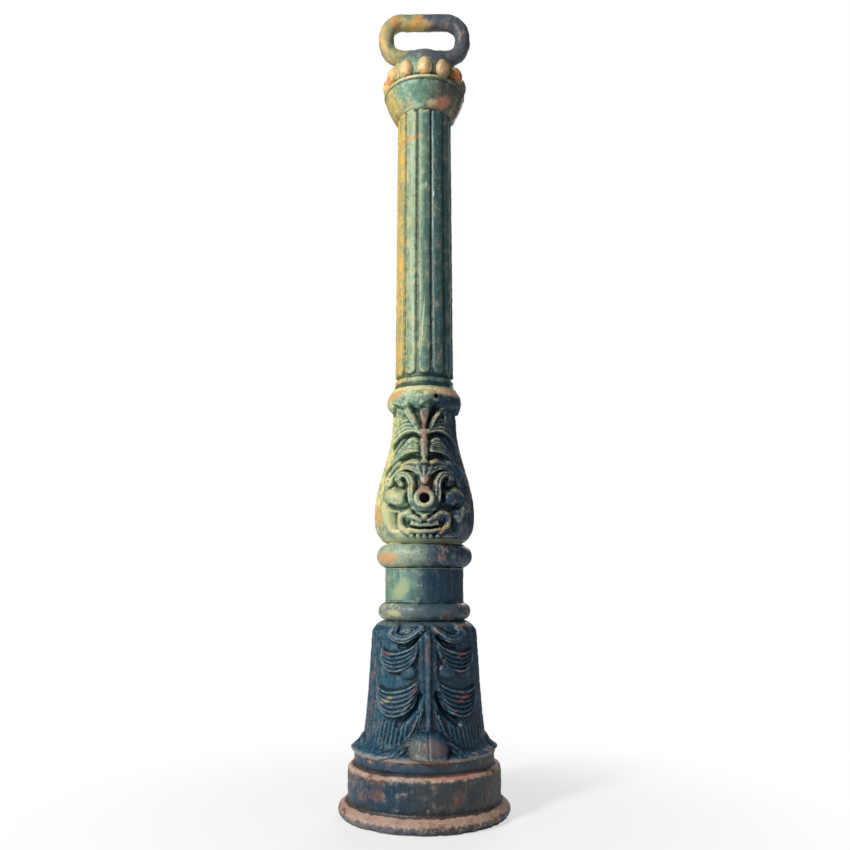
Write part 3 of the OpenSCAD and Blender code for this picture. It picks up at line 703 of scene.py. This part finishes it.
def collar_edge(theta, h):
    """Uneven leafy lower edge of the collar, a hollow line above it and its turned-over tip."""
    wave = 3.2 * np.sin(np.radians(theta * 6.5 + 40)) + 2.2 * np.sin(np.radians(theta * 11))
    under = h - (COLLAR_FOOT + 11 + wave)
    leafy = 1.6 * ease(under / 2.2) * ease((22 - under) / 18) - 1.6 * soft((under + 2) / 5)
    veins = 0.7 * np.abs(np.sin(np.radians(theta * 9 + h * 2))) * ease(under / 3) * ease((203 - h) / 8)
    return leafy + veins


def vase_radius(theta, q):
    h = q * VASE_H * 1000
    turn = np.abs(theta)
    ground = vase_ground(h)
    x = np.radians(turn) * np.minimum(ground, BELLY_R)
    front = ease((92 - turn) / 16)
    face = mask(x, h - SPOUT_H) * ease((113 - h) / 8) * ease((h - 3) / 5) * ease((68 - x) / 5)
    leaf = hanging_leaf(x, h, theta > 0) * ease((h - 84 - 18 * ease((30 - x) / 16)) / 4) * ease((72 - x) / 8)
    behind = np.radians(180 - turn) * ground
    back = hanging_leaf(behind, h, theta < 0) * (turn > 90) * ease((h - 92) / 8)
    tip_x = np.radians(theta) * ground - 3.5
    tip = 7.5 * bulge(tip_x / 17, (h - 192) / 12) - 7 * bulge((tip_x - 11) / 3.6, (h - 194) / 3.2)
    tip = np.where(turn < 60, tip, 0)
    tip = tip + np.where(turn > 120, 6.5 * bulge(behind / 17, (h - 192) / 12), 0)
    strand = np.abs(np.sin(x / 4.6 * np.pi / 2 + 0.6 * np.sin(h / 23))) ** 0.8
    strands = 1.4 * strand * ease((x - 46) / 10) * ease((h - 8) / 10) * ease((176 - h) / 5)
    strands = strands * ease((172 - turn) / 10)
    carved = np.where(np.abs((face + leaf) * front) > np.abs(back), (face + leaf) * front, back)
    edge = collar_edge(theta, h) * (h > 160)
    return (ground + CARVING_DEPTH * carved * ease((192 - h) / 12) + tip
            + strands * ease((1.6 - carved) / 1.2) + edge)


vase = tube("masked_vase", VASE_Z, VASE_H, sides=420, rings=225)
carve(vase, vase_radius, VASE_Z, VASE_H)
line_inside(vase, VASE_HOLLOW_LOW_R, VASE_HOLLOW_TOP_R)
close_up(vase)
weather(vase, depth=0.0005, size=0.005, seed=23)

bpy.ops.object.select_all(action="DESELECT")
bpy.ops.mesh.primitive_cylinder_add(vertices=64, radius=SPOUT_R, depth=0.03,
                                    rotation=(math.radians(90), 0, 0), location=(0, -0.064, SPOUT_Z))
drill = bpy.context.object
bore = vase.modifiers.new("spout_hole", "BOOLEAN")
bore.operation = "DIFFERENCE"
bore.object = drill
bpy.context.view_layer.objects.active = vase
bpy.ops.object.modifier_apply(modifier="spout_hole")
bpy.data.objects.remove(drill)
note_wear(vase, passes=16)

right_side_shade, pale, cream, buff = tint(22, 52, 74), tint(196, 196, 146), tint(222, 214, 166), tint(222, 196, 150)
salmon, stem_brown, nose_pink = tint(208, 150, 124), tint(148, 104, 92), tint(168, 128, 116)
# The mark on the right side is painted shade; the pale marks on the left cheek and jowl, the cream marks on
# the lips and along the collar and the buff mark along the collar are painted highlights.
vase_marks = [(right_side_shade, 0.044, 0.400, 0.040, 0.520, 0.022),
              (pale, -0.054, 0.404, -0.036, 0.394, 0.010),
              (pale, -0.046, 0.432, -0.036, 0.430, 0.007),
              (orange, -0.064, 0.420, -0.060, 0.396, 0.005),
              (buff, 0.000, 0.572, 0.040, 0.570, 0.005),
              (orange, -0.046, 0.566, -0.030, 0.572, 0.005),
              (salmon, 0.026, 0.572, 0.044, 0.568, 0.004),
              (stem_brown, -0.001, 0.486, 0.000, 0.540, 0.0045),
              (cream, -0.046, 0.388, -0.010, 0.384, 0.006),
              (nose_pink, -0.004, 0.438, 0.004, 0.446, 0.010),
              (cream, -0.030, 0.574, 0.010, 0.574, 0.003)]
declare(vase, old_paint("vase_paint", front=tint(118, 150, 132), shade=tint(20, 52, 76),
                        dust=tint(216, 208, 150), rust=tint(204, 146, 96),
                        dusty=0.6, rusty=0.3, topside=0.3, marks=vase_marks, turn=0.1))


# Reeded shaft
# The tall tapered shaft of the casting: twelve round reeds between narrow grooves, with a hollow
# moulding and a fine ring at its foot. Sage green paint, worn to ochre along the lit left side, where the
# ochre is partly painted light, with painted shade on the right.
SHAFT_Z, CAP_Z = 0.589, 0.943
SHAFT_LOW_R, SHAFT_TOP_R, SHAFT_RISE = 40, 36.5, 354
COVE_H, RING_HALF_H = 12, 1.3
SHAFT_FOOT, SHAFT_H = SHAFT_Z - COVE_H / 1000, CAP_Z - SHAFT_Z + 0.024
REEDS, REED_START, REED_FOOT_R, GROOVE = 12, 14, 7.8, 3.0
SHAFT_HOLLOW_LOW_R, SHAFT_HOLLOW_TOP_R = 0.027, 0.0237


def shaft_radius(theta, q):
    """Radius of the reeds, and under them of the fine ring and the hollow moulding, in millimetres."""
    z = q * SHAFT_H * 1000 - COVE_H
    over = SHAFT_LOW_R + (SHAFT_TOP_R - SHAFT_LOW_R) * unit(z / SHAFT_RISE)
    off = np.abs((theta / 360 * REEDS + 0.5) % 1 - 0.5) * 2 * math.pi * over / REEDS
    end = REED_START - np.sqrt(unit(1 - (off / REED_FOOT_R) ** 2)) * REED_FOOT_R
    reed = (1 - 0.14 * (off / 6) ** 2) * ease((REED_FOOT_R + 1.4 - off) / 2.6) * ease((z - end) / 2.4)
    reeded = over - GROOVE * (1 - reed)
    cove = 39.8 + 4.4 * (np.abs(z) / COVE_H) ** 2 + 0.6 * soft((z + 9.6) / 1.2)
    ring = 40.3 - 0.6 * (np.abs(z) / RING_HALF_H) ** 2
    sill = over - 0.2 - (GROOVE - 0.4) * ease((z - 1.8) / 3)
    foot = np.where(np.abs(z) < RING_HALF_H, ring, np.where(z < 0, cove, sill))
    return np.where(z > 4.8, reeded, foot)


shaft = tube("reeded_shaft", SHAFT_FOOT, SHAFT_H, sides=384, rings=240)
carve(shaft, shaft_radius, SHAFT_FOOT, SHAFT_H)
line_inside(shaft, SHAFT_HOLLOW_LOW_R, SHAFT_HOLLOW_TOP_R)
close_up(shaft)
weather(shaft, depth=0.0004, size=0.006, seed=31)
note_wear(shaft, passes=22)

chip_and_highlight, ochre = tint(216, 216, 200), tint(196, 140, 84)
shaft_marks = [(chip_and_highlight, -0.0045, 0.632, 0.0005, 0.700, 0.0009),
               (chip_and_highlight, 0.0015, 0.844, 0.0025, 0.852, 0.0014),
               (chip_and_highlight, 0.0118, 0.834, 0.0128, 0.842, 0.0012),
               (ochre, -0.0320, 0.912, -0.0060, 0.915, 0.0040),
               # The two long thin lines along reed edges are painted highlights; the other chip marks are
               # paint chips.
               (chip_and_highlight, 0.0096, 0.640, 0.0110, 0.930, 0.0004),
               (chip_and_highlight, -0.0158, 0.625, -0.0150, 0.700, 0.0006)]
declare(shaft, old_paint("shaft_paint", front=tint(128, 156, 128), shade=tint(64, 96, 98),
                         dust=tint(206, 172, 104), rust=tint(178, 128, 84),
                         dusty=0.65, rusty=0.2, marks=shaft_marks, turn=0.15))


# Cap
# The swelling cap of the casting over the reeds: a lip, a fine ring, twelve egg beads and a round dome.
# Slate on the dome, sea green below the ring, and ochre and orange on the lit left side, where they are
# partly rust and dust and partly painted light, with painted shade on the right.
CAP_RING_Z, CAP_RING_R = 0.984, 0.0529
DOME_Z, DOME_R = 0.995, 0.050
BEADS, BEAD_W, BEAD_H, BEAD_RING_R, BEAD_LEAN = 12, 0.020, 0.027, 0.0475, -10

cap_outline = run((SHAFT_HOLLOW_TOP_R, CAP_Z + 0.008), (0.0375, CAP_Z + 0.008), (0.0408, CAP_Z + 0.0105),
                  (0.0428, CAP_Z + 0.0125), (0.0436, CAP_Z + 0.0150), (0.0462, CAP_Z + 0.019),
                  (0.0500, CAP_Z + 0.0265), (0.0528, CAP_Z + 0.034), (0.0532, CAP_Z + 0.038),
                  *arc(CAP_RING_R, CAP_RING_Z, 0.0026, -70, 70, 6), (0.0500, CAP_RING_Z + 0.0035),
                  (0.0485, CAP_RING_Z + 0.0075), *arc(0, DOME_Z, DOME_R, 12, 88, 40), step=0.0018)
cap = lathe("beaded_cap", cap_outline, sides=288)
close_up(cap)

beads = []
for i in range(BEADS):
    turn = 2 * math.pi * i / BEADS
    bpy.ops.object.select_all(action="DESELECT")
    bpy.ops.mesh.primitive_uv_sphere_add(segments=48, ring_count=32, radius=BEAD_W / 2)
    bead = bpy.context.object
    bead.scale = (1, 1, BEAD_H / BEAD_W)
    bead.rotation_euler = (math.radians(BEAD_LEAN), 0, turn)
    bead.location = (BEAD_RING_R * math.sin(turn), -BEAD_RING_R * math.cos(turn),
                     CAP_RING_Z + BEAD_H / 2 + 0.002)
    bpy.ops.object.transform_apply()
    beads.append(bead)
bpy.ops.object.select_all(action="DESELECT")
for bead in beads:
    bead.select_set(True)
bpy.context.view_layer.objects.active = beads[0]
bpy.ops.object.join()
eggs = bpy.context.object
eggs.name = "egg_beads"
bpy.ops.object.shade_smooth()
for piece, seed in ((cap, 37), (eggs, 41)):
    weather(piece, depth=0.0007, size=0.007, seed=seed)
    note_wear(piece, passes=8)

dome_slate, lip_highlight, salmon, cream, buff = (tint(84, 90, 108), tint(200, 218, 196), tint(214, 140, 112),
                                             tint(222, 208, 160), tint(214, 190, 150))
# The pale lip mark and the cream line on the fine ring are painted highlights.
cap_marks = [(dome_slate, -0.026, 1.034, 0.026, 1.034, 0.0240),
             (lip_highlight, -0.026, 0.952, -0.004, 0.954, 0.0024),
             (salmon, 0.016, 0.955, 0.030, 0.962, 0.0060),
             (cream, -0.040, 0.983, 0.030, 0.986, 0.0022),
             (buff, 0.006, 0.955, 0.014, 0.957, 0.0040)]
declare(cap, old_paint("cap_paint", front=tint(118, 158, 140), shade=tint(86, 90, 82),
                       dust=tint(208, 176, 104), rust=tint(204, 134, 92),
                       dusty=0.6, rusty=0.4, marks=cap_marks, turn=0.2))
declare(eggs, old_paint("egg_paint", front=tint(204, 172, 126), shade=tint(146, 126, 102),
                        dust=tint(226, 200, 150), rust=tint(206, 132, 88),
                        dusty=0.7, rusty=0.9, topside=0.3, turn=0.45))


# Loop
# The handle of the casting on top of the dome: a thick round bar bent into a closed flat loop that
# stands across the front. On the lit left side most of its paint has gone to ochre and orange rust, partly
# painted light there, and its right side is painted shade.
LOOP_W, LOOP_H, BAR_D, CORNER_R = 0.126, 0.071, 0.0215, 0.022
LOOP_Z = 1.064

bpy.ops.object.select_all(action="DESELECT")
bend = bpy.data.curves.new("loop_handle", "CURVE")
bend.dimensions = "3D"
bend.bevel_depth = BAR_D / 2
bend.bevel_resolution = 12
half_w, half_h = (LOOP_W - BAR_D) / 2 - CORNER_R, (LOOP_H - BAR_D) / 2 - CORNER_R
middle = []
for start, across, up in ((0, 1, 1), (90, -1, 1), (180, -1, -1), (270, 1, -1)):
    middle += [(across * half_w + x, up * half_h + z) for x, z in arc(0, 0, CORNER_R, start, start + 90, 24)]
middle.append(middle[0])
middle = run(*middle, step=0.0016)[:-1]
spline = bend.splines.new("POLY")
spline.points.add(len(middle) - 1)
spline.use_cyclic_u = True
for point, (x, z) in zip(spline.points, middle):
    point.co = (x, 0, z + LOOP_Z, 1)
loop = bpy.data.objects.new("loop_handle", bend)
bpy.context.scene.collection.objects.link(loop)
loop.select_set(True)
bpy.context.view_layer.objects.active = loop
bpy.ops.object.convert(target="MESH")
loop = bpy.context.object
bpy.ops.object.shade_smooth()
weather(loop, depth=0.0007, size=0.009, seed=43)
note_wear(loop, passes=3)

yellow, dull_yellow = tint(222, 180, 106), tint(208, 172, 100)
# The ochre and yellow marks on the left are rust and dust, partly painted light.
loop_marks = [(ochre, -0.046, 1.088, -0.038, 1.082, 0.006),
              (yellow, -0.024, 1.081, 0.006, 1.083, 0.006),
              (dull_yellow, -0.060, 1.066, -0.052, 1.044, 0.004)]
declare(loop, old_paint("loop_paint", front=tint(118, 142, 122), shade=tint(82, 88, 96),
                        dust=tint(204, 166, 96), rust=tint(202, 124, 74),
                        dusty=0.45, rusty=0.55, marks=loop_marks))


# Floor
# A plain pale floor that runs far out, with a faint shadow under the column. The camera sees the floor
# almost white and the surround quite white, and neither throws more light on the column for that.
FLOOR_SIZE, SHADOW_NEAR, SHADOW_FAR = 60, 0.14, 0.62
SURROUND_LIGHT = 0.15
bpy.ops.object.select_all(action="DESELECT")
bpy.ops.mesh.primitive_plane_add(size=FLOOR_SIZE)
floor = bpy.context.object
floor.name = "floor"
floor_look = Finish("pale_floor")
seen = floor_look.add("ShaderNodeLightPath", out="Is Camera Ray")
floor_look.surface.inputs["Base Color"].default_value = (0.86, 0.86, 0.86, 1)
floor_look.surface.inputs["Roughness"].default_value = 0.9
white = floor_look.nodes.new("ShaderNodeEmission")
blend = floor_look.nodes.new("ShaderNodeMixShader")
spot = {"Vector": floor_look.add("ShaderNodeTexCoord", out="Object")}
away = floor_look.add("ShaderNodeVectorMath", {"operation": "LENGTH"}, {0: spot["Vector"]}, 1)
floor_look.plug(blend.inputs[0], seen * (0.62 + 0.38 * away.step(SHADOW_NEAR, SHADOW_FAR)))
floor_look.links.new(floor_look.surface.outputs[0], blend.inputs[1])
floor_look.links.new(white.outputs[0], blend.inputs[2])
floor_look.links.new(blend.outputs[0], floor_look.nodes["Material Output"].inputs["Surface"])
floor.data.materials.append(floor_look.material)

world = bpy.data.worlds.new("studio")
bpy.context.scene.world = world
world.use_nodes = True
paths = world.node_tree.nodes.new("ShaderNodeLightPath")
plain = world.node_tree.nodes["Background"]
plain.inputs["Color"].default_value = (1, 1, 1, 1)
level = world.node_tree.nodes.new("ShaderNodeMapRange")
level.inputs["To Min"].default_value = SURROUND_LIGHT
level.inputs["To Max"].default_value = 1
world.node_tree.links.new(paths.outputs["Is Camera Ray"], level.inputs["Value"])
world.node_tree.links.new(level.outputs["Result"], plain.inputs["Strength"])
